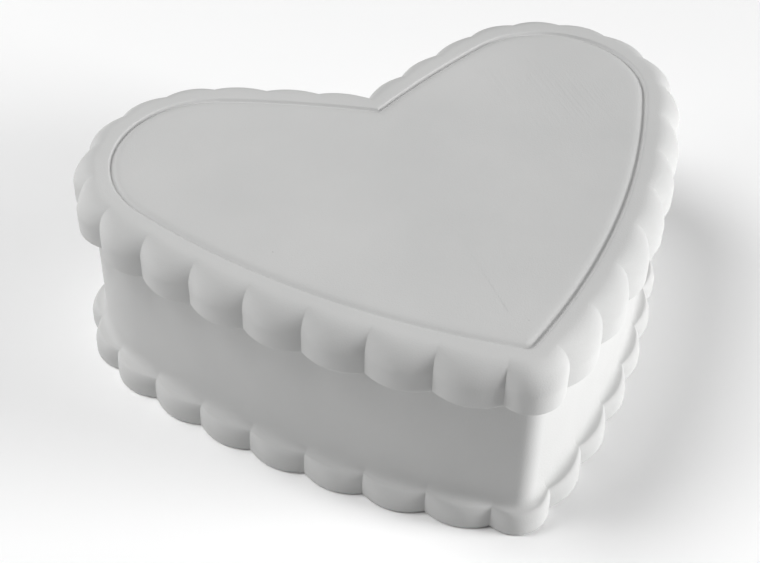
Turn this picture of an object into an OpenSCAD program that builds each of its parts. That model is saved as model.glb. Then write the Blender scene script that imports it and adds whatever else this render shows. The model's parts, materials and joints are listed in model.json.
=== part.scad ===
// A wind-up music box: a heart-shaped bisque box with a lift-off lid, a key under its base,
// and a comb-and-cylinder movement standing on its floor.
// Millimetres, +Z up. The origin is on the ground under the middle of the heart, whose tip
// points to -Y and whose notch points to +Y.

/* [Box] */
// Width of the heart line cut into the lid
heart_w = 140; // [134:1:160]
// Height of the whole box with its lid on
total_h = 53.4; // [52:0.2:60]
// Height of the lid's scalloped rim
rim_h = 11.8; // [10:0.2:13]
// Height of the foot flange at its scalloped edge
flange_edge_h = 6.9; // [5:0.1:8]
// Height of the foot flange where it meets the wall
flange_wall_h = 9.8; // [9:0.1:11]
// Thickness of the wall
wall_t = 5; // [4:0.5:6]
// Depth of the recess under the floor, which holds the key
recess_h = 14; // [14:0.5:15]
// Thickness of the floor
floor_t = 5; // [4:0.5:5.5]
// Thickness of the lid's top
lid_top_t = 6; // [5:0.5:6.5]

/* [Scallops] */
// Number of scallops on each side of the tip scallop
scallops = 15; // [12:1:18]
// How far a scallop stands out from the cusps beside it
scallop_rise = 2.3; // [1.5:0.1:3.5]
// How much shorter each scallop is than the one before it, from the tip to the notch
scallop_step = 0.2; // [0:0.05:0.3]
// Segments in each scallop's outline
scallop_segments = 6; // [4:2:8]

/* [Heart line] */
// Width of the line cut into the lid
groove_w = 1.6; // [1:0.1:2.5]
// Depth of the line cut into the lid
groove_depth = 0.8; // [0.4:0.1:1.2]

/* [Movement] */
// Thickness of the bedplate
bedplate_t = 2.2; // [2:0.1:2.5]
// Number of notes on the comb
notes = 18; // [12:1:18]
// Distance between neighbouring notes
note_pitch = 0.95; // [0.9:0.01:0.95]
// Radius of the cylinder without its pins
cylinder_r = 6; // [5.5:0.1:6]
// Gap between the cylinder's pins and the comb's tips
comb_gap = 0.1; // [0.08:0.01:0.3]
// Teeth on the barrel's crown
crown_teeth = 48; // [48:4:48]
// Teeth on the cylinder's pinion
pinion_teeth = 16; // [16:2:16]
// Teeth on the cylinder's large gear
gear_teeth = 32; // [32:1:32]
// Teeth on the governor's pinion
governor_teeth = 8; // [8:1:8]
// Teeth on the wheel that turns the worm
worm_wheel_teeth = 20; // [20:1:20]

/* [Key] */
// Span of the key's wings
key_w = 21; // [18:0.5:24]
// Thickness of the key's wings
key_t = 2; // [1.5:0.1:2.5]

/* [Hidden] */
$fn = 48;

// ---- Heart outline -------------------------------------------------------------------------
// Each side of the heart is four tangent arcs: a small one round the tip, a long flat one up
// the side, one round the lobe, and a nearly straight one down to the notch. Every outline of
// the box is this line moved out, or in, by an offset d.
lobe_c = heart_w * [0.3225, 0.2124];
lobe_r = heart_w * 0.1775;
side_r = heart_w * 1.4116;
side_start = -28.2;
notch_r = heart_w * 1.983;
notch_start = 111.8;
tip_in = 2.5;

function tangent_centre(r, a) = lobe_c + (lobe_r - r) * [cos(a), sin(a)];
side_c = tangent_centre(side_r, side_start);
notch_c = tangent_centre(notch_r, notch_start);
tip_start = -acos(-side_c[0] / (side_r - tip_in));
tip_c = [0, side_c[1] + (side_r - tip_in) * sin(tip_start)];

arc_centres = [tip_c, side_c, lobe_c, notch_c];
arc_radii = [tip_in, side_r, lobe_r, notch_r];
arc_starts = [-90, tip_start, side_start, notch_start];

function arc_end(arc, d) = arc < 3 ? arc_starts[arc + 1] : acos(-notch_c[0] / (notch_r + d));
function arc_length(arc, d) = (arc_radii[arc] + d) * (arc_end(arc, d) - arc_starts[arc]) * PI / 180;
function half_length(d) = arc_length(0, d) + arc_length(1, d) + arc_length(2, d) + arc_length(3, d);

// The place [arc, share of it] at distance s from the tip, measured along the cusps' line
function place(s, arc = 0) =
    let (whole = arc_length(arc, cusp_d))
    arc == 3 || s <= whole ? [arc, min(1, s / whole)] : place(s - whole, arc + 1);
function heart_point(p, d) =
    let (arc = p[0], a = arc_starts[arc] + p[1] * (arc_end(arc, d) - arc_starts[arc]))
    arc_centres[arc] + (arc_radii[arc] + d) * [cos(a), sin(a)];

// Offsets of the box's outlines from the heart line
cusp_d = heart_w * 0.0547;
wall_d = heart_w * 0.048;
inner_d = wall_d - wall_t;
// The lid's lip stands inside the wall with this gap
lip_gap = 0.6;
lip_t = 3;
lip_h = 3;
// Radius of the hole in the floor that the key's arbor goes through
key_hole_r = 6;
// Radius of the holes in the floor for the mounting screws
floor_screw_r = 1.7;

// Scallops: a station is [distance from the tip, rise above the cusps' line]
tip_half = heart_w * 0.061;
scallop_mean = (half_length(cusp_d) - tip_half) / scallops;
function cusp_at(j) = tip_half + j * scallop_mean + scallop_step * j * (scallops - j) / 2;
function rise(u) = scallop_rise * (1 - u * u);
tip_steps = scallop_segments / 2;
stations = concat(
    [for (i = [0:tip_steps]) [tip_half * i / tip_steps, rise(i / tip_steps)]],
    [for (j = [0:scallops - 1], i = [1:scallop_segments])
        let (u = i / scallop_segments)
        [cusp_at(j) + (cusp_at(j + 1) - cusp_at(j)) * u, rise(2 * u - 1)]]
);
notch_index = len(stations) - 1;

// A closed outline, anticlockwise from the tip; scallop is 1 for scallops and 0 for a plain heart
function outline(d, scallop = 0) =
    let (right = [for (s = stations) heart_point(place(s[0]), d + scallop * s[1])])
    concat(
        [for (i = [0:notch_index]) i == 0 || i == notch_index ? [0, right[i][1]] : right[i]],
        [for (i = [notch_index - 1:-1:1]) [-right[i][0], right[i][1]]]
    );

// A skin through outlines [d, z, scallop], all with the same number of points. A closed one
// joins its last outline to its first, and an open one has flat ends.
module skin(levels, closed) {
    n = 2 * notch_index;
    count = len(levels);
    points = [for (l = levels, p = outline(l[0], l[2])) [p[0], p[1], l[1]]];
    strips = closed ? count : count - 1;
    sides = [for (i = [0:strips - 1], k = [0:n - 1])
        let (a = i * n, b = ((i + 1) % count) * n, next = (k + 1) % n)
        [b + k, b + next, a + next, a + k]];
    // each end is a fan about the notch, which sees the whole heart
    first = [for (k = [0:n - 1]) (notch_index + k) % n];
    last = [for (k = [0:n - 1]) (count - 1) * n + (notch_index + n - k) % n];
    polyhedron(points, closed ? sides : concat([first], sides, [last]), convexity = 8);
}

// ---- Heights -------------------------------------------------------------------------------
wall_top = total_h - rim_h;
floor_z = recess_h + floor_t;
plate_z = floor_z + bedplate_t;
lid_roof = total_h - lid_top_t;

// ---- Movement layout -----------------------------------------------------------------------
// The movement's own frame is the box's frame moved by this much in X and Y. Its cylinder lies
// along X, with the barrel at its left end, the governor at its right end and the comb in front.
movement_at = [6, 11, 0];

barrel_x = -15;
barrel_r = 11.6;
barrel_wall = 0.8;
// room under the barrel for the clutch spring
barrel_z = plate_z + 1.8;
barrel_h = 9;
barrel_top_t = 0.9;
cover_t = 1;
// the arbor turns in the bedplate and the cover on its wide foot, and in the bridge on its shank
foot_r = 2.2;
shank_r = 1.5;
crown_in = 10.2;
crown_out = 12.2;
crown_mid = (crown_in + crown_out) / 2;
tooth_up = 0.45;
tooth_down = 0.55;
crown_z = barrel_z + barrel_h + tooth_down;
crown_pitch = 2 * PI * crown_mid / crown_teeth;

pinion_r = crown_pitch * pinion_teeth / (2 * PI);
cylinder_z = crown_z + pinion_r;
pinion_x = barrel_x + crown_in + 0.15;
pinion_w = 1.8;

drum_x = pinion_x + pinion_w + 1.2;
drum_w = notes * note_pitch + 2;
pin_r = 0.2;
pin_out = 0.95;
pinned_r = cylinder_r + pin_out;
arbor_r = 1;
// radial clearance of every running bearing
running = 0.05;

gear_m = 0.45;
gear_x = drum_x + drum_w + 0.6;
gear_w = 1.4;
// direction from the cylinder's axis to the governor's, seen from the right
mesh_a = -33;
mesh_distance = gear_m * (gear_teeth + governor_teeth) / 2 + 0.05;
governor_y = mesh_distance * cos(mesh_a);
governor_z = cylinder_z + mesh_distance * sin(mesh_a);

bracket_t = 1.2;
frame_x = gear_x + gear_w + 0.7;
frame_t = 0.9;
frame_gap = 3.7;
far_x = frame_x + frame_t + frame_gap;
worm_x = frame_x + frame_t + frame_gap / 2;
// radii of the governor's pivots, of the worm shaft's pivots, and of the worm wheel's seat
pivot_r = 0.6;
tip_pivot_r = 0.5;
wheel_seat_r = 0.9;
shaft_r = 0.85;
wheel_m = 0.5;
wheel_w = 1.2;
wheel_r = wheel_m * worm_wheel_teeth / 2;
worm_r = 1.3;
worm_lead = PI * wheel_m;
worm_y = governor_y + wheel_r + worm_r + 0.05;

plate_left = -25;
plate_right = frame_x + 2 * frame_t + frame_gap + 5.2;
plate_front = -24;
plate_back = 19.6;

comb_top = cylinder_z + 0.6;
comb_t = 1.4;
comb_tip_y = -(pinned_r + comb_gap);
comb_back = plate_front + 0.5;
comb_front = -16.8;
first_note = drum_x + 1 + note_pitch / 2;
comb_left = first_note - note_pitch / 2 - 0.6;
comb_right = first_note + (notes - 0.5) * note_pitch + 0.6;

fan_z = governor_z + 5.2;
fan_h = 3.2;
fan_r = 3.9;
frame_top = 40.6;
arm_t = 1.2;
post_y = worm_y + 4.5;

screw_r = 1;
mount_screw_r = 1.3;
washer_t = 0.8;
mounting_points = [[plate_left + 4, plate_front + 3.8], [plate_right - 3.8, plate_front + 3.8],
                   [plate_left + 2.6, plate_back - 2.6]];
bridge_points = [[barrel_x, -17], [barrel_x, 17]];
bracket_points = [[frame_x + 3, -3.4], [frame_x + 3, 2.4]];
comb_points = [[first_note + 2.2 * note_pitch, -20.4], [first_note + 14.8 * note_pitch, -20.4]];
governor_points = [[plate_right - 2.6, worm_y - 6], [plate_right - 2.6, worm_y + 2.6]];
stop_screw_r = 0.7;
stop_at = [worm_x, worm_y + 3.66];

// ---- Shapes that repeat --------------------------------------------------------------------
module in_movement() {
    translate(movement_at) children();
}

// Turns a shape that stands on XY so that it stands on the YZ plane, growing along +X
module along_x(x, y, z) {
    translate([x, y, z]) rotate([90, 0, 90]) children();
}

module at_each(points) {
    for (p = points) translate([p[0], p[1], 0]) children();
}

// A round part turned from [radius, height] points
module turned(points) {
    rotate_extrude($fn = 64) polygon(points);
}

module block(low, high) {
    translate(low) cube(high - low);
}

// A cheese-head screw with its head's underside at z and its end at z - length
module screw(r, z, length, head_r, head_h) {
    translate([0, 0, z - length]) cylinder(r = r, h = length + head_h / 2);
    difference() {
        translate([0, 0, z]) cylinder(r = head_r, h = head_h);
        translate([-head_r - 1, -0.22, z + head_h * 0.55]) cube([2 * head_r + 2, 0.44, head_h]);
    }
}

// A spur gear's outline: its first tooth points along +X of the sketch
function gear_outline(teeth, m) =
    let (r = m * teeth / 2, half = 0.19 * PI * m)
    [for (i = [0:teeth - 1], c = [[-1, -tooth_depth(m), 1.1], [-1, 0, 1], [-1, 0.9 * m, 0.5],
                                  [1, 0.9 * m, 0.5], [1, 0, 1], [1, -tooth_depth(m), 1.1]])
        let (at = r + c[1], a = 360 * i / teeth + c[0] * c[2] * half / r * 180 / PI)
        at * [cos(a), sin(a)]];
function tooth_depth(m) = 1.1 * m;

// A gear across the X axis, with a tooth at the angle given, counted from +Y towards +Z
module gear(x, y, z, teeth, m, width, tooth_a, bore) {
    along_x(x, y, z) difference() {
        linear_extrude(width) rotate(tooth_a) polygon(gear_outline(teeth, m));
        translate([0, 0, -1]) cylinder(r = bore, h = width + 2);
    }
}

// ---- Box -----------------------------------------------------------------------------------
module lid() {
    soft = 0.35 * rim_h;
    color("white") skin([
        [inner_d - lip_gap - lip_t, lid_roof, 0],
        [inner_d - lip_gap - lip_t, wall_top - lip_h, 0],
        [inner_d - lip_gap, wall_top - lip_h, 0],
        [inner_d - lip_gap, wall_top, 0],
        [cusp_d, wall_top, 1],
        [cusp_d, total_h - soft, 1],
        [cusp_d - 0.3 * soft, total_h - 0.3 * soft, 0.8],
        [cusp_d - soft, total_h, 0.45],
        [groove_w / 2, total_h, 0],
        [groove_w / 4, total_h - groove_depth, 0],
        [-groove_w / 4, total_h - groove_depth, 0],
        [-groove_w / 2, total_h, 0]
    ], false);
}

module base() {
    edge_soft = 0.8;
    foot_in = 0.9;
    fillet = 0.6;
    color("white") difference() {
        union() {
            skin([
                [cusp_d, 0, 1],
                [cusp_d, flange_edge_h - edge_soft, 1],
                [cusp_d - edge_soft, flange_edge_h, 1],
                [wall_d + foot_in, flange_wall_h - fillet, 0],
                [wall_d, flange_wall_h + fillet, 0],
                [wall_d, wall_top - edge_soft, 0],
                [wall_d - edge_soft, wall_top, 0],
                [inner_d, wall_top, 0],
                [inner_d, 0, 0]
            ], true);
            // the floor reaches 1 mm into the wall, so that they are one solid
            translate([0, 0, recess_h])
                linear_extrude(floor_t) polygon(outline(inner_d + 1));
        }
        in_movement() {
            translate([barrel_x, 0, recess_h - 1]) cylinder(r = key_hole_r, h = floor_t + 2);
            at_each(mounting_points)
                translate([0, 0, recess_h - 1]) cylinder(r = floor_screw_r, h = floor_t + 2);
        }
    }
}

// ---- Movement: plate and its screws --------------------------------------------------------
module bedplate() {
    corner = 3;
    color("silver") in_movement() difference() {
        union() {
            block([plate_left + corner, plate_front, floor_z], [plate_right - corner, plate_back, plate_z]);
            block([plate_left, plate_front + corner, floor_z], [plate_right, plate_back - corner, plate_z]);
            for (x = [plate_left + corner, plate_right - corner],
                 y = [plate_front + corner, plate_back - corner])
                translate([x, y, floor_z]) cylinder(r = corner, h = bedplate_t);
        }
        at_each(mounting_points)
            translate([0, 0, floor_z - 1]) cylinder(r = mount_screw_r, h = bedplate_t + 2);
        at_each(concat(bridge_points, bracket_points, comb_points, governor_points))
            translate([0, 0, floor_z - 1]) cylinder(r = screw_r, h = bedplate_t + 2);
        translate([barrel_x, 0, floor_z - 1]) cylinder(r = foot_r + running, h = bedplate_t + 2);
    }
}

module mounting_screws() {
    color("silver") in_movement() at_each(mounting_points)
        translate([0, 0, recess_h - washer_t]) mirror([0, 0, 1])
            screw(mount_screw_r, 0, plate_z - recess_h + washer_t, 2.5, 1.5);
}

module mounting_washers() {
    color("gainsboro") in_movement() at_each(mounting_points)
        translate([0, 0, recess_h - washer_t]) difference() {
            cylinder(r = 3.6, h = washer_t);
            translate([0, 0, -1]) cylinder(r = mount_screw_r + 0.2, h = washer_t + 2);
        }
}

// ---- Movement: spring drive ----------------------------------------------------------------
module at_barrel() {
    in_movement() translate([barrel_x, 0, 0]) children();
}

module spring_barrel() {
    top = barrel_z + barrel_h;
    root = crown_pitch * 0.21;
    color("gold") at_barrel() {
        union() {
            turned([
                [shank_r + running, top - barrel_top_t], [barrel_r - barrel_wall, top - barrel_top_t],
                [barrel_r - barrel_wall, barrel_z], [barrel_r, barrel_z],
                [barrel_r, top - 2.2], [crown_out, top - 1.6], [crown_out, top],
                [shank_r + running, top]
            ]);
            for (i = [0:crown_teeth - 1])
                rotate((i + 0.5) * 360 / crown_teeth)
                    along_x(crown_in, 0, crown_z) linear_extrude(crown_out - crown_in)
                        polygon([[-root, -tooth_down - 0.1], [root, -tooth_down - 0.1],
                                 [crown_pitch * 0.09, tooth_up], [-crown_pitch * 0.09, tooth_up]]);
        }
    }
}

module barrel_cover() {
    color("goldenrod") at_barrel() difference() {
        translate([0, 0, barrel_z]) cylinder(r = barrel_r - barrel_wall, h = cover_t);
        translate([0, 0, barrel_z - 1]) cylinder(r = foot_r + running, h = cover_t + 2);
    }
}

// Radius of the hub that the mainspring is hooked on
hub_r = 3;

// A flat strip coiled outwards from the arbor's hub to the barrel's wall
module mainspring() {
    turns = 8;
    steps = 20;
    from_r = hub_r + 0.3;
    to_r = barrel_r - barrel_wall - 0.35;
    strip = 0.3;
    function coil(i, side) =
        let (r = from_r + (to_r - from_r) * i / (turns * steps) + side * strip / 2)
        r * [cos(360 * i / steps), sin(360 * i / steps)];
    color("slategray") at_barrel() translate([0, 0, barrel_z + cover_t + 0.4])
        linear_extrude(barrel_h - cover_t - 1.7)
            polygon(concat([for (i = [0:turns * steps]) coil(i, -1)],
                           [for (i = [turns * steps:-1:0]) coil(i, 1)]));
}

module winding_arbor() {
    hub_z = barrel_z + cover_t + 0.2;
    hub_top = barrel_z + barrel_h - barrel_top_t - 0.2;
    end_z = bridge_z + bridge_t + 0.5;
    color("silver") at_barrel() turned([
        [0, key_floor_z], [shank_r, key_floor_z], [shank_r, key_top_z], [foot_r, key_top_z + 0.6],
        [foot_r, hub_z], [hub_r, hub_z], [hub_r, hub_top], [shank_r, hub_top], [shank_r, end_z],
        [0, end_z + 0.3]
    ]);
}

// A wrap spring round the arbor, between the bedplate and the barrel, with its tail let into
// the plate. It grips the arbor when the arbor tries to turn back.
module clutch_spring() {
    wire = 0.5;
    coils = 1.8;
    steps = 18;
    sides = 6;
    coil_r = foot_r + running + wire / 2;
    rings = floor(coils * steps);
    points = [for (i = [0:rings], k = [0:sides - 1])
        let (a = 360 * i / steps, r = coil_r + wire / 2 * cos(360 * k / sides),
             z = plate_z + wire / 2 + 0.1 + 1.1 * wire * i / steps + wire / 2 * sin(360 * k / sides))
        [r * cos(a), r * sin(a), z]];
    faces = concat(
        [[for (k = [sides - 1:-1:0]) k]],
        [for (i = [0:rings - 1], k = [0:sides - 1])
            let (a = i * sides, b = (i + 1) * sides, next = (k + 1) % sides)
            [a + k, a + next, b + next, b + k]],
        [[for (k = [0:sides - 1]) rings * sides + k]]
    );
    color("dimgray") at_barrel() union() {
        polyhedron(points, faces);
        translate([coil_r, 0, floor_z + 1]) cylinder(r = wire / 2, h = bedplate_t - 1 + wire);
    }
}

// Heights of the key: its socket's floor, and its top against the arbor's foot
key_floor_z = 6.5;
key_top_z = 11;

// Two round wings with a hole in each, and a hub with a socket for the arbor
module winding_key() {
    wing_r = 3.75;
    wing_z = 6.25;
    wing_x = key_w / 2 - wing_r;
    web_h = 4.7;
    hub_z = 4.5;
    color("goldenrod") at_barrel() difference() {
        union() {
            translate([0, 0, hub_z]) cylinder(r = 3, h = key_top_z - hub_z);
            translate([-wing_x, -key_t / 2, wing_z - web_h / 2]) cube([2 * wing_x, key_t, web_h]);
            for (x = [-wing_x, wing_x])
                translate([x, -key_t / 2, wing_z]) rotate([-90, 0, 0]) cylinder(r = wing_r, h = key_t);
        }
        translate([0, 0, key_floor_z]) cylinder(r = shank_r, h = key_top_z);
        for (x = [-wing_x, wing_x])
            translate([x, -key_t, wing_z]) rotate([-90, 0, 0]) cylinder(r = 1.7, h = 2 * key_t);
    }
}

// ---- Movement: bridge over the barrel ------------------------------------------------------
bridge_z = crown_z + tooth_up + 0.75;
bridge_t = 1.2;
lug_x = pinion_x - 0.6 - bridge_t;

// Height of the cylinder's bearing plates above its axis
bearing_up = 3.2;

module barrel_bridge() {
    half = 6;
    half_lug = 4;
    leg_y = crown_out + 1;
    foot_y = leg_y + 6;
    color("lightsteelblue") in_movement() difference() {
        union() {
            block([barrel_x - half, -leg_y - bridge_t, bridge_z],
                  [barrel_x + half, leg_y + bridge_t, bridge_z + bridge_t]);
            block([barrel_x + half - 1, -half_lug, bridge_z],
                  [lug_x + bridge_t, half_lug, bridge_z + bridge_t]);
            block([lug_x, -half_lug, bridge_z], [lug_x + bridge_t, half_lug, cylinder_z + bearing_up]);
            for (side = [0, 1]) mirror([0, side, 0]) {
                block([barrel_x - half, leg_y, plate_z],
                      [barrel_x + half, leg_y + bridge_t, bridge_z + bridge_t]);
                block([barrel_x - half, leg_y, plate_z], [barrel_x + half, foot_y, plate_z + bridge_t]);
            }
        }
        translate([barrel_x, 0, bridge_z - 1]) cylinder(r = shank_r + running, h = bridge_t + 2);
        along_x(lug_x - 1, 0, cylinder_z) cylinder(r = arbor_r, h = bridge_t + 2);
        at_each(bridge_points) translate([0, 0, plate_z - 1]) cylinder(r = screw_r, h = bridge_t + 2);
    }
}

module bridge_screws() {
    color("silver") in_movement() at_each(bridge_points)
        screw(screw_r, plate_z + bridge_t, bridge_t + bedplate_t, 1.8, 1.2);
}

// ---- Movement: cylinder --------------------------------------------------------------------
module cylinder_arbor() {
    shoulders = [bridge_t + 0.2, frame_x - lug_x - 0.4];
    length = frame_x - lug_x + 1.4;
    journal_r = arbor_r - running;
    color("silver") in_movement() along_x(lug_x + 0.1, 0, cylinder_z) turned([
        [0, 0], [journal_r, 0], [journal_r, shoulders[0]], [arbor_r, shoulders[0]],
        [arbor_r, shoulders[1]], [journal_r, shoulders[1]], [journal_r, length], [0, length]
    ]);
}

module cylinder_pinion() {
    color("gold") in_movement()
        gear(pinion_x, 0, cylinder_z, pinion_teeth, 2 * pinion_r / pinion_teeth, pinion_w, -90, arbor_r);
}

module cylinder_gear() {
    color("gold") in_movement()
        gear(gear_x, 0, cylinder_z, gear_teeth, gear_m, gear_w, mesh_a, arbor_r);
}

// A thin drum with an end plate at each end
module music_cylinder() {
    end_t = 1;
    inside_r = cylinder_r - 0.7;
    color("goldenrod") in_movement() along_x(drum_x, 0, cylinder_z) turned([
        [arbor_r, 0], [cylinder_r, 0], [cylinder_r, drum_w], [arbor_r, drum_w], [arbor_r, drum_w - end_t],
        [inside_r, drum_w - end_t], [inside_r, end_t], [arbor_r, end_t]
    ]);
}

// Five pins in each track, at angles that a fixed rule scatters round the drum
module cylinder_pins() {
    per_note = 5;
    foot = cylinder_r - 0.5;
    color("silver") in_movement() for (i = [0:notes - 1], k = [0:per_note - 1])
        along_x(first_note + i * note_pitch, 0, cylinder_z)
            rotate(360 * (k + (i * 7 % notes) / notes) / per_note + 8 * sin(97 * i + 151 * k))
                rotate([0, 90, 0]) translate([0, 0, foot]) cylinder(r = pin_r, h = pinned_r - foot, $fn = 24);
}

module cylinder_bracket() {
    front = -5;
    back = 4.2;
    color("lightsteelblue") in_movement() difference() {
        union() {
            block([frame_x, front, plate_z], [frame_x + bracket_t, back, cylinder_z + bearing_up]);
            block([frame_x, front, plate_z], [frame_x + 5, back, plate_z + bracket_t]);
        }
        along_x(frame_x - 1, 0, cylinder_z) cylinder(r = arbor_r, h = 4);
        at_each(bracket_points) translate([0, 0, plate_z - 1]) cylinder(r = screw_r, h = 4);
    }
}

module bracket_screws() {
    color("silver") in_movement() at_each(bracket_points)
        screw(screw_r, plate_z + bracket_t, bracket_t + bedplate_t, 1.7, 1.2);
}

// ---- Movement: comb ------------------------------------------------------------------------
// The teeth get shorter from the bass on the left to the treble on the right
tooth_w = note_pitch * 0.7;
function root_y(i) = comb_tip_y - 9.2 + 3.4 * i / (notes - 1);

module comb() {
    edge = [for (i = [notes - 1:-1:0]) let (x = first_note + i * note_pitch, w = tooth_w / 2)
        each [[x + w, root_y(i)], [x + w, comb_tip_y], [x - w, comb_tip_y], [x - w, root_y(i)]]];
    color("silver") in_movement() translate([0, 0, comb_top - comb_t]) difference() {
        linear_extrude(comb_t) polygon(concat(
            [[comb_left, comb_back], [comb_right, comb_back], [comb_right, root_y(notes - 1)]],
            edge, [[comb_left, root_y(0)]]));
        // the teeth are ground thin from below
        translate([comb_left - 1, comb_tip_y - 4.6, -1]) cube([comb_right - comb_left + 2, 10, 1.5]);
        at_each(comb_points) translate([0, 0, -1]) cylinder(r = screw_r, h = comb_t + 2);
    }
}

module comb_weights() {
    weighted = floor(notes / 2);
    color("dimgray") in_movement() for (i = [0:weighted - 1]) {
        deep = 1.9 - 0.15 * i;
        block([first_note + i * note_pitch - 0.3, comb_tip_y - 3.2, comb_top - comb_t + 0.5 - deep],
              [first_note + i * note_pitch + 0.3, comb_tip_y - 0.6, comb_top - comb_t + 0.5]);
    }
}

module comb_base() {
    color("gray") in_movement() difference() {
        block([comb_left, comb_back, plate_z], [comb_right, comb_front - 0.4, comb_top - comb_t]);
        at_each(comb_points) translate([0, 0, plate_z - 1]) cylinder(r = screw_r, h = 20);
    }
}

module comb_screws() {
    color("silver") in_movement() at_each(comb_points)
        screw(screw_r, comb_top, comb_top - floor_z, 1.9, 1.2);
}

// ---- Movement: governor --------------------------------------------------------------------
module governor_frame() {
    wall_y = 5;
    side_top = governor_z + 3;
    color("ivory") in_movement() difference() {
        union() {
            for (x = [frame_x, far_x])
                block([x, wall_y, plate_z], [x + frame_t, post_y + 1, side_top]);
            block([frame_x, wall_y, plate_z], [far_x + frame_t, post_y + 1, plate_z + 1]);
            block([far_x, worm_y - 8.2, plate_z], [plate_right - 0.4, post_y + 1, plate_z + 1]);
            block([frame_x, post_y, plate_z], [far_x + frame_t, post_y + 1, frame_top + arm_t]);
            block([worm_x - 2, worm_y - 1.6, frame_top], [worm_x + 2, post_y + 1, frame_top + arm_t]);
        }
        for (x = [frame_x, far_x])
            along_x(x - 1, governor_y, governor_z) cylinder(r = pivot_r + running, h = frame_t + 2);
        translate([worm_x, worm_y, plate_z + 0.4]) cylinder(r = tip_pivot_r + running, h = 4);
        translate([worm_x, worm_y, frame_top - 1]) cylinder(r = tip_pivot_r + running, h = arm_t + 2);
        translate([stop_at[0], stop_at[1], frame_top - 1]) cylinder(r = stop_screw_r, h = arm_t + 2);
        at_each(governor_points) translate([0, 0, plate_z - 1]) cylinder(r = screw_r, h = 4);
    }
}

module governor_screws() {
    color("silver") in_movement() at_each(governor_points)
        screw(screw_r, plate_z + 1, 1 + bedplate_t, 1.7, 1.2);
}

// The pinion and its arbor are one turned and cut piece
module governor_pinion() {
    start = gear_x - 0.1;
    shoulders = [frame_x + frame_t + 0.2 - start, far_x - 0.2 - start];
    length = far_x + frame_t + 0.3 - start;
    color("silver") in_movement() union() {
        gear(start, governor_y, governor_z, governor_teeth, gear_m, frame_x - 0.2 - start,
             mesh_a + 180 + 180 / governor_teeth, 0.3);
        along_x(start, governor_y, governor_z) turned([
            [0, 0], [pivot_r, 0], [pivot_r, shoulders[0]], [wheel_seat_r, shoulders[0]],
            [wheel_seat_r, shoulders[1]], [pivot_r, shoulders[1]], [pivot_r, length], [0, length]
        ]);
    }
}

module worm_wheel() {
    color("ivory") in_movement()
        gear(worm_x - wheel_w / 2, governor_y, governor_z, worm_wheel_teeth, wheel_m, wheel_w,
             180 / worm_wheel_teeth, wheel_seat_r);
}

// A right-hand thread round the shaft: each section is a trapezium, turned and raised
module worm_shaft() {
    turns = 3;
    steps = 18;
    from_z = governor_z - turns / 2 * worm_lead;
    root_r = shaft_r - 0.1;
    crest_r = worm_r + 0.4;
    section = [[root_r, -0.36], [crest_r, -0.14], [crest_r, 0.14], [root_r, 0.36]];
    rings = turns * steps;
    points = [for (i = [0:rings], c = section)
        let (a = 360 * i / steps - 90 - 360 * turns / 2)
        [c[0] * cos(a), c[0] * sin(a), from_z + worm_lead * i / steps + c[1]]];
    faces = concat(
        [[3, 2, 1, 0]],
        [for (i = [0:rings - 1], k = [0:3])
            let (a = i * 4, b = (i + 1) * 4, next = (k + 1) % 4)
            [a + k, a + next, b + next, b + k]],
        [[for (k = [0:3]) rings * 4 + k]]
    );
    color("silver") in_movement() translate([worm_x, worm_y, 0]) union() {
        turned([
            [0, plate_z + 0.5], [tip_pivot_r, plate_z + 0.5], [tip_pivot_r, plate_z + 1.2],
            [shaft_r, plate_z + 1.6], [shaft_r, frame_top - 0.6], [tip_pivot_r, frame_top - 0.4],
            [tip_pivot_r, frame_top + arm_t - 0.3], [0, frame_top + arm_t - 0.3]
        ]);
        polyhedron(points, faces);
    }
}

module fan() {
    color("whitesmoke") in_movement() translate([worm_x, worm_y, fan_z]) difference() {
        union() {
            cylinder(r = 1.5, h = fan_h);
            for (a = [45, 225])
                rotate(a) translate([0, -0.3, 0]) cube([fan_r, 0.6, fan_h]);
        }
        translate([0, 0, -1]) cylinder(r = shaft_r, h = fan_h + 2);
    }
}

// ---- Movement: stop ------------------------------------------------------------------------
module stop_lever() {
    t = 0.7;
    z = frame_top + arm_t + 0.1;
    color("lightsteelblue") in_movement() translate([stop_at[0], stop_at[1], 0]) difference() {
        union() {
            translate([0, 0, z]) cylinder(r = 1.7, h = t);
            block([0, -1, z], [8, 1, z + t]);
            block([7.2, -1, z], [8, 1, z + 3]);
            rotate(197) block([0, -0.9, z], [5.8, 0.9, z + t]);
            rotate(197) block([5.1, -0.6, fan_z + 0.6], [5.8, 0.6, z + t]);
        }
        translate([0, 0, z - 1]) cylinder(r = stop_screw_r + running, h = t + 2);
    }
}

module stop_screw() {
    z = frame_top + arm_t + 0.9;
    color("silver") in_movement() translate([stop_at[0], stop_at[1], 0])
        screw(stop_screw_r, z, z - frame_top, 1.4, 0.9);
}

lid();
base();
bedplate();
mounting_screws();
mounting_washers();
spring_barrel();
barrel_cover();
mainspring();
winding_arbor();
clutch_spring();
winding_key();
barrel_bridge();
bridge_screws();
music_cylinder();
cylinder_pins();
cylinder_arbor();
cylinder_pinion();
cylinder_gear();
cylinder_bracket();
bracket_screws();
comb();
comb_weights();
comb_base();
comb_screws();
governor_frame();
governor_screws();
governor_pinion();
worm_wheel();
worm_shaft();
fan();
stop_lever();
stop_screw();
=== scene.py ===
"""Looks of the heart-shaped wind-up music box: a bisque lid and base, and the movement inside."""

import json
import math

import bmesh
import bpy
from mathutils import Matrix, Vector, noise


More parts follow.
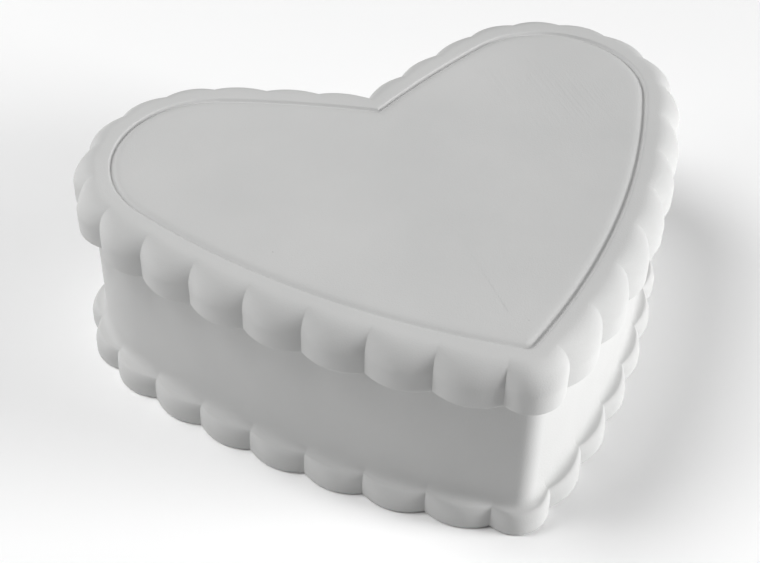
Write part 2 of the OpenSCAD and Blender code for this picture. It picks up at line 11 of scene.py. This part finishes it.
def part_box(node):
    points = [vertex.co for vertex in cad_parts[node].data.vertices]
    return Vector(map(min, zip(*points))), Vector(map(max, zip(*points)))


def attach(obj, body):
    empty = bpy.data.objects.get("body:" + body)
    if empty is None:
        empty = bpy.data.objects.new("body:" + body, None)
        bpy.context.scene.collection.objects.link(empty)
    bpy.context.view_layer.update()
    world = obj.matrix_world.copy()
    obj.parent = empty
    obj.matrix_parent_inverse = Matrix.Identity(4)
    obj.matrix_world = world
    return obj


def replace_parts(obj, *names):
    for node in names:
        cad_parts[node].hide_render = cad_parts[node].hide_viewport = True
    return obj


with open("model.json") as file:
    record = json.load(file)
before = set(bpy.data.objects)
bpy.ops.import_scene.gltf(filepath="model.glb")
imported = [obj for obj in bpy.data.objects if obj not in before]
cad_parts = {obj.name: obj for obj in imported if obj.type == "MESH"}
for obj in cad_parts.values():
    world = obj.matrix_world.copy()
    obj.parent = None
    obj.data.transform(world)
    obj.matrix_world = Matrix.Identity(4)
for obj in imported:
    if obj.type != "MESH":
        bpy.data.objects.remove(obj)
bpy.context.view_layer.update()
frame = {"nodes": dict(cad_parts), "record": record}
nodes = frame["nodes"]
MM = 0.001

# ---- Heart outline: four tangent arcs from the tip to the notch, as on the CAD solids --------
HEART_W = 140 * MM
LOBE_C = HEART_W * Vector((0.3225, 0.2124))
LOBE_R = HEART_W * 0.1775
SIDE_R = HEART_W * 1.4116
SIDE_START = math.radians(-28.2)
NOTCH_R = HEART_W * 1.983
NOTCH_START = math.radians(111.8)
TIP_R = 2.5 * MM
# Distances outwards from the heart line. The wall's outer face lies 1.3 mm further in than on the CAD base.
CUSP_D = HEART_W * 0.0547
WALL_D = 5.4 * MM
WALL_T = 3.7 * MM
INNER_D = WALL_D - WALL_T
SCALLOPS = 15
SCALLOP_RISE = 2.3 * MM
SCALLOP_STEP = 0.2 * MM
TIP_HALF = HEART_W * 0.061
STEPS = 20  # mesh steps along one scallop
WIDEST = (7, 8, 9)  # the scallops that reach the box's full width


def polar(radius, angle):
    return Vector((radius * math.cos(angle), radius * math.sin(angle)))


SIDE_C = LOBE_C + polar(LOBE_R - SIDE_R, SIDE_START)
NOTCH_C = LOBE_C + polar(LOBE_R - NOTCH_R, NOTCH_START)
TIP_START = -math.acos(-SIDE_C.x / (SIDE_R - TIP_R))
TIP_C = Vector((0, SIDE_C.y + (SIDE_R - TIP_R) * math.sin(TIP_START)))
ARCS = [(TIP_C, TIP_R, -math.pi / 2), (SIDE_C, SIDE_R, TIP_START),
        (LOBE_C, LOBE_R, SIDE_START), (NOTCH_C, NOTCH_R, NOTCH_START)]


def arc_end(arc, d):
    return ARCS[arc + 1][2] if arc < 3 else math.acos(-NOTCH_C.x / (NOTCH_R + d))


def arc_length(arc, d):
    _, radius, start = ARCS[arc]
    return (radius + d) * (arc_end(arc, d) - start)


def place(s):
    """The arc, and the share of it, at distance s from the tip along the cusps' line."""
    for arc in range(4):
        whole = arc_length(arc, CUSP_D)
        if arc == 3 or s <= whole:
            return arc, min(1, s / whole)
        s -= whole


def heart_point(where, d):
    arc, share = where
    centre, radius, start = ARCS[arc]
    return centre + polar(radius + d, start + share * (arc_end(arc, d) - start))


SCALLOP_MEAN = (sum(arc_length(arc, CUSP_D) for arc in range(4)) - TIP_HALF) / SCALLOPS


def cusp_at(j):
    return TIP_HALF + j * SCALLOP_MEAN + SCALLOP_STEP * j * (SCALLOPS - j) / 2


def stations():
    """(place, rise, scallop number, share along it) on one side, closer together near the cusps."""
    found = []
    for j in range(-1, SCALLOPS):
        first = STEPS // 2 if j < 0 else 1
        low, high = (-TIP_HALF, TIP_HALF) if j < 0 else (cusp_at(j), cusp_at(j + 1))
        for i in range(first, STEPS + 1):
            u = math.sin(math.pi / 2 * (2 * i / STEPS - 1))
            s = (low + high) / 2 + u * (high - low) / 2
            found.append((place(max(0, s)), SCALLOP_RISE * (1 - u * u), j, u))
    return found


STATIONS = stations()
NOTCH = len(STATIONS) - 1
# (station, side) for every point of a closed outline, anticlockwise from the tip
AROUND = [(i, 1) for i in range(NOTCH + 1)] + [(i, -1) for i in range(NOTCH - 1, 0, -1)]


# ---- Materials ---------------------------------------------------------------------------------
class Nodes:
    """A material's node tree with short calls for the nodes that the finishes share."""

    def __init__(self, name):
        self.material = bpy.data.materials.new(name)
        self.material.use_nodes = True
        self.tree = self.material.node_tree
        self.shader = self.tree.nodes["Principled BSDF"]
        self.place = self.add("ShaderNodeTexCoord").outputs["Object"]

    def add(self, kind, **settings):
        node = self.tree.nodes.new(kind)
        for key, value in settings.items():
            setattr(node, key, value)
        return node

    def link(self, source, target):
        self.tree.links.new(source, target)

    def scaled(self, stretch, turn=0):
        node = self.add("ShaderNodeMapping")
        node.inputs["Scale"].default_value = stretch
        node.inputs["Rotation"].default_value = (0, 0, math.radians(turn))
        self.link(self.place, node.inputs["Vector"])
        return node.outputs["Vector"]

    def noise(self, scale, detail=3, stretch=None, turn=0):
        node = self.add("ShaderNodeTexNoise")
        node.inputs["Scale"].default_value = scale
        node.inputs["Detail"].default_value = detail
        self.link(self.scaled(stretch, turn) if stretch else self.place, node.inputs["Vector"])
        return node.outputs["Fac"]

    def dots(self, scale, size, soft):
        """1 at the heart of each of some scattered cells, and 0 elsewhere."""
        node = self.add("ShaderNodeTexVoronoi")
        node.inputs["Scale"].default_value = scale
        self.link(self.place, node.inputs["Vector"])
        return self.ramp(node.outputs["Distance"], size + soft, size, 0, 1)

    def ramp(self, source, low, high, out_low, out_high):
        node = self.add("ShaderNodeMapRange")
        for key, value in zip(("From Min", "From Max", "To Min", "To Max"), (low, high, out_low, out_high)):
            node.inputs[key].default_value = value
        self.link(source, node.inputs["Value"])
        return node.outputs["Result"]

    def math(self, operation, a, b):
        node = self.add("ShaderNodeMath", operation=operation)
        for socket, value in zip(node.inputs, (a, b)):
            if isinstance(value, (int, float)):
                socket.default_value = value
            else:
                self.link(value, socket)
        return node.outputs["Value"]

    def mix(self, factor, a, b):
        node = self.add("ShaderNodeMix", data_type="RGBA")
        self.link(factor, node.inputs["Factor"])
        for socket, value in ((node.inputs["A"], a), (node.inputs["B"], b)):
            if isinstance(value, tuple):
                socket.default_value = (*value, 1)
            else:
                self.link(value, socket)
        return node.outputs["Result"]

    def bump(self, height, distance, strength=1, under=None):
        node = self.add("ShaderNodeBump")
        node.inputs["Strength"].default_value = strength
        node.inputs["Distance"].default_value = distance
        self.link(height, node.inputs["Height"])
        if under:
            self.link(under, node.inputs["Normal"])
        return node.outputs["Normal"]

    def radius(self, centre, axis):
        """The distance from a turning axis, x or z, through the centre."""
        keep = Vector((0, 1, 1)) if axis == "x" else Vector((1, 1, 0))
        moved = self.add("ShaderNodeVectorMath", operation="SUBTRACT")
        moved.inputs[1].default_value = centre
        self.link(self.place, moved.inputs[0])
        flat = self.add("ShaderNodeVectorMath", operation="MULTIPLY")
        flat.inputs[1].default_value = keep
        self.link(moved.outputs["Vector"], flat.inputs[0])
        length = self.add("ShaderNodeVectorMath", operation="LENGTH")
        self.link(flat.outputs["Vector"], length.inputs[0])
        return length.outputs["Value"]

    def rings(self, centre, axis, scale):
        """Lathe lines round an axis."""
        node = self.add("ShaderNodeTexNoise", noise_dimensions="1D")
        node.inputs["Scale"].default_value = scale
        node.inputs["Detail"].default_value = 2
        self.link(self.radius(centre, axis), node.inputs["W"])
        return node.outputs["Fac"]

    def finish(self, colour=None, roughness=None, normal=None, **sockets):
        for socket, value in (("Base Color", colour), ("Roughness", roughness), ("Normal", normal)):
            if value is None:
                continue
            if isinstance(value, (int, float)):
                self.shader.inputs[socket].default_value = value
            else:
                self.link(value, self.shader.inputs[socket])
        for socket, value in sockets.items():
            self.shader.inputs[socket.replace("_", " ")].default_value = value
        return self.material


def bisque():
    """Unglazed bisque: matt and nearly white, with a fine grain, faint brush marks and pinholes, whose inner
    shade is painted in as a darker colour.
    """
    n = Nodes("bisque")
    cloud = n.noise(28, 4)
    grain = n.noise(2600, 2)
    colour = n.mix(n.ramp(cloud, 0.3, 0.7, 0, 1), (0.53, 0.532, 0.528), (0.565, 0.565, 0.56))
    # Pinholes: dented by the bump below, and their shade is painted in, darkening the colour in each pit.
    pits = n.dots(45, 0.0085, 0.009)
    colour = n.mix(pits, colour, (0.32, 0.32, 0.31))
    # crossed brush marks over the right lobe
    crossed = n.math("MAXIMUM", n.noise(900, 1, (1, 0.04, 1), 40), n.noise(900, 1, (1, 0.04, 1), -42))
    near_lobe = n.ramp(n.radius(LOBE_C.to_3d(), "z"), LOBE_R * 0.9, LOBE_R * 0.5, 0, 1)
    marks = n.math("MULTIPLY", n.ramp(crossed, 0.5, 0.7, 0, 1),
                   n.math("MULTIPLY", near_lobe, n.ramp(n.noise(70, 2), 0.42, 0.6, 0, 1)))
    height = n.math("SUBTRACT", n.ramp(grain, 0.35, 0.65, 0, 1), n.math("MULTIPLY", pits, 6))
    normal = n.bump(marks, 0.00004, 0.6, n.bump(height, 0.00003, 0.5))
    roughness = n.ramp(cloud, 0.3, 0.7, 0.86, 0.94)
    return n.finish(colour, roughness, normal, Specular_IOR_Level=0.3)


MARK_DEPTH = 0.012 * MM
LATHE_LINES = 2600


def metal(name, dark, light, rough, lines, tarnish=0.12):
    """Metal with tool marks. lines is a stretch for a ground face, or (centre, axis) for a turned one."""
    n = Nodes(name)
    marks = n.rings(*lines, LATHE_LINES) if isinstance(lines[1], str) else n.noise(900, 3, lines)
    smudge = n.noise(130, 4)
    colour = n.mix(n.ramp(marks, 0.3, 0.7, 0, 1), dark, light)
    dull = tuple(0.55 * c for c in dark)
    colour = n.mix(n.ramp(smudge, 0.55, 0.75, 0, tarnish), colour, dull)
    roughness = n.math("ADD", n.ramp(marks, 0.3, 0.7, rough - 0.05, rough + 0.05),
                       n.ramp(smudge, 0.45, 0.75, 0, 0.14))
    return n.finish(colour, roughness, n.bump(marks, MARK_DEPTH, 0.6), Metallic=1)


def matt(name, dark, light, rough, grain, depth, **sockets):
    """A cast or moulded surface: fine grain, with slow changes of tone and gloss."""
    n = Nodes(name)
    cloud, fine = n.noise(110, 4), n.noise(grain, 3)
    colour = n.mix(n.ramp(cloud, 0.3, 0.7, 0, 1), dark, light)
    colour = n.mix(n.ramp(fine, 0.6, 0.75, 0, 0.35), colour, tuple(0.7 * c for c in dark))
    roughness = n.ramp(fine, 0.35, 0.65, rough - 0.06, rough + 0.06)
    return n.finish(colour, roughness, n.bump(fine, depth, 0.6), **sockets)


def centre_of(name):
    low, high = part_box(name)
    return (low + high) / 2


STEEL_DARK, STEEL_LIGHT = (0.46, 0.46, 0.47), (0.62, 0.62, 0.63)
BRASS_DARK, BRASS_LIGHT = (0.62, 0.44, 0.17), (0.80, 0.60, 0.27)
FINISHES = {
    "bisque": bisque(),
    "zinc_plate": metal("zinc_plate", (0.50, 0.51, 0.53), (0.66, 0.67, 0.69), 0.40, (1, 14, 1), 0.2),
    "screws": metal("screws", (0.56, 0.56, 0.57), (0.72, 0.72, 0.73), 0.24, (6, 1, 6)),
    "washers": metal("washers", (0.50, 0.50, 0.50), (0.64, 0.64, 0.64), 0.32, (1, 6, 1)),
    "barrel": metal("barrel", BRASS_DARK, BRASS_LIGHT, 0.26, (centre_of("spring_barrel"), "z")),
    "spring_steel": metal("spring_steel", (0.19, 0.22, 0.28), (0.30, 0.33, 0.40), 0.26, (1, 1, 10)),
    "shafts": metal("shafts", (0.58, 0.58, 0.59), (0.74, 0.74, 0.75), 0.18, (5, 5, 1)),
    "key": metal("key", (0.58, 0.48, 0.27), (0.72, 0.62, 0.38), 0.30, (1, 8, 1), 0.25),
    "bridge_steel": metal("bridge_steel", STEEL_DARK, STEEL_LIGHT, 0.34, (12, 1, 1), 0.2),
    "cylinder_brass": metal("cylinder_brass", (0.64, 0.47, 0.20), (0.78, 0.60, 0.30), 0.22, (12, 1, 1)),
    "pins": metal("pins", (0.60, 0.58, 0.52), (0.76, 0.73, 0.66), 0.20, (3, 3, 3)),
    "gear_brass": metal("gear_brass", BRASS_DARK, BRASS_LIGHT, 0.24, (centre_of("cylinder_gear"), "x")),
    "comb_steel": metal("comb_steel", (0.52, 0.53, 0.54), (0.70, 0.71, 0.72), 0.27, (12, 1, 1), 0.08),
    "lead": matt("lead", (0.20, 0.21, 0.23), (0.28, 0.29, 0.31), 0.58, 1500, 0.00003, Metallic=0.7),
    "cast_zinc": matt("cast_zinc", (0.33, 0.34, 0.35), (0.42, 0.43, 0.44), 0.52, 1900, 0.00004, Metallic=0.8),
    "governor_nylon": matt("governor_nylon", (0.72, 0.70, 0.64), (0.80, 0.78, 0.72), 0.46, 1300, 0.000015),
    "wheel_nylon": matt("wheel_nylon", (0.75, 0.72, 0.62), (0.82, 0.79, 0.70), 0.42, 1300, 0.00001),
    "fan_nylon": matt("fan_nylon", (0.74, 0.74, 0.72), (0.82, 0.82, 0.80), 0.40, 1300, 0.00001),
}

# ---- Box ---------------------------------------------------------------------------------------
lid_low, lid_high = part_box("lid")
TOP = lid_high.z
LIP_BOTTOM = lid_low.z
WALL_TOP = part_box("base")[1].z
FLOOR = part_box("bedplate")[0].z
FLOOR_T = 5 * MM
ROOF_T = 6 * MM
RECESS = FLOOR - FLOOR_T
ROOF = TOP - ROOF_T
FLANGE_EDGE = 6.9 * MM
FLANGE_FILLET = 3.8 * MM
KEY_HOLE_R = 6 * MM
SCREW_HOLE_R = 1.7 * MM
SHARP = math.radians(40)


def islands(name):
    """The corners (low, high) of each separate solid in a CAD node."""
    bm = bmesh.new()
    bm.from_mesh(nodes[name].data)
    bmesh.ops.remove_doubles(bm, verts=bm.verts, dist=1e-6)
    left, found = set(bm.verts), []
    while left:
        todo, group = [left.pop()], []
        while todo:
            v = todo.pop()
            group.append(v.co.copy())
            for edge in v.link_edges:
                other = edge.other_vert(v)
                if other in left:
                    left.remove(other)
                    todo.append(other)
        low = Vector(min(p[i] for p in group) for i in range(3))
        high = Vector(max(p[i] for p in group) for i in range(3))
        found.append((low, high))
    bm.free()
    return sorted(found, key=lambda box: tuple(box[0]))


def curve(start, end, along_d, count, k=(0, 0)):
    """Levels (d, z, k) on a quarter ellipse from start to end, which leaves start along d or along z."""
    levels = []
    for i in range(1, count + 1):
        a = math.pi / 2 * i / count
        early, late = math.sin(a), 1 - math.cos(a)
        d_share, z_share = (early, late) if along_d else (late, early)
        levels.append((start[0] + (end[0] - start[0]) * d_share, start[1] + (end[1] - start[1]) * z_share,
                       k[0] + (k[1] - k[0]) * i / count))
    return levels


def straight(start, end, count, k=(0, 0)):
    return [(start[0] + (end[0] - start[0]) * i / count, start[1] + (end[1] - start[1]) * i / count,
             k[0] + (k[1] - k[0]) * i / count) for i in range(1, count + 1)]


def lid_section():
    """From the middle of the roof inside, round the lip and the rim, and in to the heart line."""
    lip_out, lip_in = INNER_D - 0.6 * MM, INNER_D - 3.6 * MM
    fillet, lip_r, under, soft = 2.5 * MM, 0.9 * MM, 0.8 * MM, 5.8 * MM
    groove_out, groove_deep = 0.9 * MM, 0.8 * MM
    levels = [(lip_in - fillet, ROOF, 0)]
    levels += curve((lip_in - fillet, ROOF), (lip_in, ROOF - fillet), True, 6)
    levels += straight((lip_in, ROOF - fillet), (lip_in, LIP_BOTTOM + lip_r), 3)
    levels += curve((lip_in, LIP_BOTTOM + lip_r), (lip_in + lip_r, LIP_BOTTOM), False, 4)
    levels += straight((lip_in + lip_r, LIP_BOTTOM), (lip_out - lip_r, LIP_BOTTOM), 2)
    levels += curve((lip_out - lip_r, LIP_BOTTOM), (lip_out, LIP_BOTTOM + lip_r), True, 4)
    levels += straight((lip_out, LIP_BOTTOM + lip_r), (lip_out, WALL_TOP), 2)
    levels += straight((lip_out, WALL_TOP), (CUSP_D - under, WALL_TOP), 4, (0, 1))
    levels += curve((CUSP_D - under, WALL_TOP), (CUSP_D, WALL_TOP + under), True, 5, (1, 1))
    levels += straight((CUSP_D, WALL_TOP + under), (CUSP_D, TOP - soft), 8, (1, 1))
    levels += curve((CUSP_D, TOP - soft), (CUSP_D - 0.75 * soft, TOP), False, 16, (1, 0.2))
    levels += straight((CUSP_D - 0.75 * soft, TOP), (groove_out, TOP), 5, (0.2, 0))
    # the line is steep on its outer side and runs out softly on its inner side
    for inward, depth in ((0.15, 0.04), (0.3, 0.2), (0.45, 0.5), (0.6, 0.8), (0.75, 0.96), (0.9, 1),
                          (1.05, 0.95), (1.25, 0.78), (1.5, 0.54), (1.8, 0.31), (2.2, 0.14), (2.7, 0.04),
                          (3.4, 0)):
        levels.append((groove_out - inward * MM, TOP - groove_deep * depth, 0))
    return levels


def base_section():
    """From the recess's ceiling down to the foot, up the flange and wall, and down to the floor."""
    fillet, foot, edge_r, soft = 2 * MM, 0.7 * MM, 3.4 * MM, 0.8 * MM
    levels = [(INNER_D - fillet, RECESS, 0)]
    levels += curve((INNER_D - fillet, RECESS), (INNER_D, RECESS - fillet), True, 5)
    levels += straight((INNER_D, RECESS - fillet), (INNER_D, foot), 3)
    levels += curve((INNER_D, foot), (INNER_D + foot, 0), False, 4)
    levels += straight((INNER_D + foot, 0), (CUSP_D - foot, 0), 3, (0, 1))
    levels += curve((CUSP_D - foot, 0), (CUSP_D, foot), True, 4, (1, 1))
    levels += straight((CUSP_D, foot), (CUSP_D, FLANGE_EDGE - edge_r), 4, (1, 1))
    levels += curve((CUSP_D, FLANGE_EDGE - edge_r), (WALL_D + 1.3 * MM, FLANGE_EDGE), False, 10, (1, 0.65))
    # the flange's top rises to the wall, and meets it in a soft fillet
    for d, z, k in ((1, 0.12, 0.48), (0.72, 0.32, 0.34), (0.46, 0.7, 0.22), (0.26, 1.25, 0.12),
                    (0.12, 1.95, 0.06), (0.04, 2.8, 0.02)):
        levels.append((WALL_D + d * MM, FLANGE_EDGE + z * MM, k))
    levels.append((WALL_D, FLANGE_EDGE + FLANGE_FILLET, 0))
    levels += straight((WALL_D, FLANGE_EDGE + FLANGE_FILLET), (WALL_D, WALL_TOP - soft), 24)
    levels += curve((WALL_D, WALL_TOP - soft), (WALL_D - soft, WALL_TOP), False, 4)
    levels += straight((WALL_D - soft, WALL_TOP), (INNER_D + soft, WALL_TOP), 2)
    levels += curve((INNER_D + soft, WALL_TOP), (INNER_D, WALL_TOP - soft), True, 4)
    levels += straight((INNER_D, WALL_TOP - soft), (INNER_D, FLOOR + fillet), 6)
    levels += curve((INNER_D, FLOOR + fillet), (INNER_D - fillet, FLOOR), False, 5)
    return levels


def fullness(j, side):
    """How far each scallop stands out, so that no two are quite alike. The widest ones stay full."""
    return 1 if j in WIDEST else 1 - 0.035 * (1 + math.sin(7.3 * j + 2.1 * side))


def sway(point):
    """The slight unevenness of a cast wall, inwards only."""
    return -0.07 * MM * (1 + noise.noise(point * 38))


def tip_corner(point):
    """How much further out the wall's tighter tip corner lies than the even offset, at a point of it."""
    even, tight = TIP_R + WALL_D, 4.6 * MM
    side_a = TIP_START + math.pi / 2
    away = Vector((abs(point.x), point.y)) - TIP_C
    a = math.atan2(away.x, -away.y)
    if not 0 <= a < side_a:
        return 0
    shift = (even - tight) / math.cos(side_a)
    touch = math.atan2(tight * math.sin(side_a), shift + tight * math.cos(side_a))
    if a > touch:
        return even / math.cos(side_a - a) - even
    return shift * math.cos(a) + math.sqrt(tight ** 2 - (shift * math.sin(a)) ** 2) - even


def seam(z, k, j, u, side):
    """The height of a low ridge that slants across the lid's first scallop left of the tip."""
    if side > 0 or j != 0 or k < 0.5 or z < WALL_TOP:
        return 0
    line = -0.6 - 0.35 * (z - WALL_TOP) / (TOP - WALL_TOP)
    return 0.25 * MM * k * math.exp(-((u - line) / 0.09) ** 2)


def ring(bm, level):
    """A closed ring of points at one level of a section."""
    d, z, k = level
    wall = FLANGE_EDGE <= z <= WALL_TOP and INNER_D + 1 * MM < d <= WALL_D + 1 * MM
    made = []
    for i, side in AROUND:
        where, rise, j, u = STATIONS[i]
        out = d + k * rise * fullness(j, side) + seam(z, k, j, u, side)
        p = heart_point(where, out)
        out += sway(Vector((side * p.x, p.y, z)))
        if wall:
            out += (1 - k) * tip_corner(p)
        p = heart_point(where, out)
        x = 0 if i in (0, NOTCH) else side * p.x
        made.append(bm.verts.new((x, p.y, z)))
    return made


def join(bm, a, b):
    for k in range(len(a)):
        n = (k + 1) % len(a)
        bm.faces.new((a[k], a[n], b[n], b[k]))


def close_over(bm, outer, count, droop):
    """Fills a ring with smaller copies of itself round the heart's middle. droop moves each point."""
    centre = Vector((0, 0, outer[0].co.z))
    last = outer
    for i in range(1, count):
        inner = [bm.verts.new(droop(centre.lerp(v.co, 1 - i / count), i / count)) for v in outer]
        join(bm, last, inner)
        last = inner
    middle = bm.verts.new(droop(centre, 1))
    for k in range(len(last)):
        bm.faces.new((last[k], last[(k + 1) % len(last)], middle))


def fill_flat(bm, rings):
    """Fills the flat space between rings that lie at one height."""
    edges = []
    for loop in rings:
        for k in range(len(loop)):
            pair = (loop[k], loop[(k + 1) % len(loop)])
            edges.append(bm.edges.get(pair) or bm.edges.new(pair))
    bmesh.ops.triangle_fill(bm, edges=edges, use_beauty=True, use_dissolve=False)


def object_from(bm, name, material):
    bmesh.ops.recalc_face_normals(bm, faces=bm.faces)
    mesh = bpy.data.meshes.new(name)
    bm.to_mesh(mesh)
    bm.free()
    mesh.materials.append(material)
    made = bpy.data.objects.new(name, mesh)
    bpy.context.scene.collection.objects.link(made)
    return made


def piece_from(bm, name, body, slot):
    piece = object_from(bm, name, FINISHES[slot])
    piece.data.shade_smooth()
    piece.data.set_sharp_from_angle(angle=SHARP)
    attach(piece, body)
    return piece


def stay(point, share):
    return point


def dip(point, share):
    """Lowers a point of the lid's top a little and unevenly, and less close to the heart line."""
    depth = 0.06 * MM * min(1, 6 * share) * (1 + noise.noise(point * 30))
    return point - Vector((0, 0, depth))


def make_lid():
    bm = bmesh.new()
    rings = [ring(bm, level) for level in lid_section()]
    for a, b in zip(rings, rings[1:]):
        join(bm, a, b)
    close_over(bm, rings[0], 12, stay)
    close_over(bm, rings[-1], 30, dip)
    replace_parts(piece_from(bm, "lid_bisque", "lid", "bisque"), "lid")


def circle(bm, centre, radius, z, count):
    turn = 2 * math.pi / count
    return [bm.verts.new((centre.x + radius * math.cos(turn * k), centre.y + radius * math.sin(turn * k), z))
            for k in range(count)]


def make_base():
    bm = bmesh.new()
    rings = [ring(bm, level) for level in base_section()]
    for a, b in zip(rings, rings[1:]):
        join(bm, a, b)
    ceiling, floor = [rings[0]], [rings[-1]]
    arbor_low, arbor_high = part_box("winding_arbor")
    holes = [((arbor_low + arbor_high) / 2, KEY_HOLE_R, 72)]
    holes += [((low + high) / 2, SCREW_HOLE_R, 36) for low, high in islands("mounting_screws")]
    worn = 0.5 * MM
    for centre, radius, count in holes:
        walls = [circle(bm, centre, r, z, count)
                 for r, z in ((radius + worn, RECESS), (radius, RECESS + worn),
                              (radius, FLOOR - worn), (radius + worn, FLOOR))]
        for a, b in zip(walls, walls[1:]):
            join(bm, a, b)
        ceiling.append(walls[0])
        floor.append(walls[-1])
    fill_flat(bm, ceiling)
    fill_flat(bm, floor)
    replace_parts(piece_from(bm, "base_bisque", "case", "bisque"), "base")


# Widths of the broken edges in mm, where they differ from EDGE
EDGES = {"bedplate": 0.2, "comb_base": 0.25, "governor_frame": 0.2, "winding_key": 0.25,
         "barrel_bridge": 0.15, "cylinder_bracket": 0.15, "cylinder_pins": 0.05, "comb": 0.04,
         "cylinder_gear": 0.05, "cylinder_pinion": 0.06, "governor_pinion": 0.04, "worm_wheel": 0.04,
         "worm_shaft": 0.04, "mainspring": 0.03, "clutch_spring": 0.03}
EDGE = 0.1


def dress(name, slot):
    """A finish and softly broken edges for a CAD node. Its mesh stays as it is."""
    piece = nodes[name]
    piece.material_slots[0].material = FINISHES[slot]
    weld = piece.modifiers.new("weld", "WELD")
    weld.merge_threshold = 0.01 * MM
    bevel = piece.modifiers.new("broken_edges", "BEVEL")
    bevel.width = EDGES.get(name, EDGE) * MM
    bevel.segments = 2
    bevel.limit_method = "ANGLE"
    bevel.angle_limit = SHARP
    bevel.use_clamp_overlap = True
    normals = piece.modifiers.new("normals", "WEIGHTED_NORMAL")
    normals.keep_sharp = True


make_lid()
make_base()
for part in frame["record"]["subparts"]:
    if part["node"] not in ("lid", "base"):
        dress(part["node"], part["material_slot"])

# ---- Stage -------------------------------------------------------------------------------------
CAMERA_AZIMUTH = math.radians(-22.4)
CAMERA_ELEVATION = math.radians(43.08)
CAMERA_ROLL = math.radians(1.6)
CAMERA_DISTANCE = 2.981 * HEART_W
CAMERA_TARGET = Vector((-0.0083, 0.2045, 0)) * HEART_W
CAMERA_LENS = 72
CAMERA_SENSOR = 36
FLOOR_R = 1.6
LIGHT_AIM = Vector((0, 0, 0.02))
LIGHT_DISTANCE = 1.3
LIGHT_LOWEST = 0.3
FILL = 0.05


def towards(azimuth, elevation):
    """The direction from the box to a camera or a light. Azimuth 0 is in front of the heart's tip."""
    return Vector((math.sin(azimuth) * math.cos(elevation), -math.cos(azimuth) * math.cos(elevation),
                   math.sin(elevation)))


def make_camera():
    back = towards(CAMERA_AZIMUTH, CAMERA_ELEVATION)
    data = bpy.data.cameras.new("camera")
    data.sensor_width = CAMERA_SENSOR
    data.lens = CAMERA_LENS
    camera = bpy.data.objects.new("camera", data)
    bpy.context.scene.collection.objects.link(camera)
    camera.location = CAMERA_TARGET + back * CAMERA_DISTANCE
    turn = (-back).to_track_quat("-Z", "Y").to_matrix() @ Matrix.Rotation(CAMERA_ROLL, 3, "Z")
    camera.rotation_euler = turn.to_euler()
    data.clip_start, data.clip_end = 0.01, 20
    bpy.context.scene.camera = camera


def make_floor():
    bm = bmesh.new()
    rings, count = 6, 64
    middle = Vector((0, 0, 0))
    loops = [circle(bm, middle, FLOOR_R * (i + 1) / rings, 0, count) for i in range(rings)]
    hub = bm.verts.new(middle)
    for k in range(count):
        bm.faces.new((loops[0][k], loops[0][(k + 1) % count], hub))
    for a, b in zip(loops, loops[1:]):
        join(bm, a, b)
    n = Nodes("floor_paper")
    colour = n.mix(n.noise(3, 2), (0.93, 0.93, 0.93), (0.95, 0.95, 0.95))
    floor = object_from(bm, "floor", n.finish(colour, 0.9, Specular_IOR_Level=0.1))


def softbox(name, azimuth, elevation, size, power):
    """A round light, aimed at the box. Angles are in degrees."""
    data = bpy.data.lights.new(name, "AREA")
    data.shape = "DISK"
    data.size, data.energy = size, power
    light = bpy.data.objects.new(name, data)
    bpy.context.scene.collection.objects.link(light)
    away = towards(math.radians(azimuth), math.radians(elevation))
    light.location = LIGHT_AIM + LIGHT_DISTANCE * away
    light.location.z = max(light.location.z, LIGHT_LOWEST)
    light.rotation_euler = (LIGHT_AIM - light.location).to_track_quat("-Z", "Y").to_euler()


def make_light():
    world = bpy.data.worlds.new("studio")
    bpy.context.scene.world = world
    world.use_nodes = True
    world.node_tree.nodes["Background"].inputs["Color"].default_value = (1, 1, 1, 1)
    world.node_tree.nodes["Background"].inputs["Strength"].default_value = FILL
    softbox("right_key", 60, 8, 0.5, 18)
    softbox("right_high", 60, 30, 0.7, 3.4)
    softbox("left_high", -120, 60, 0.7, 10.4)
    softbox("left_back", -100, 30, 0.7, 4.2)
    softbox("back_low", -140, 8, 0.5, 2.2)


make_camera()
make_floor()
make_light()
bpy.context.scene.view_settings.view_transform = "Standard"
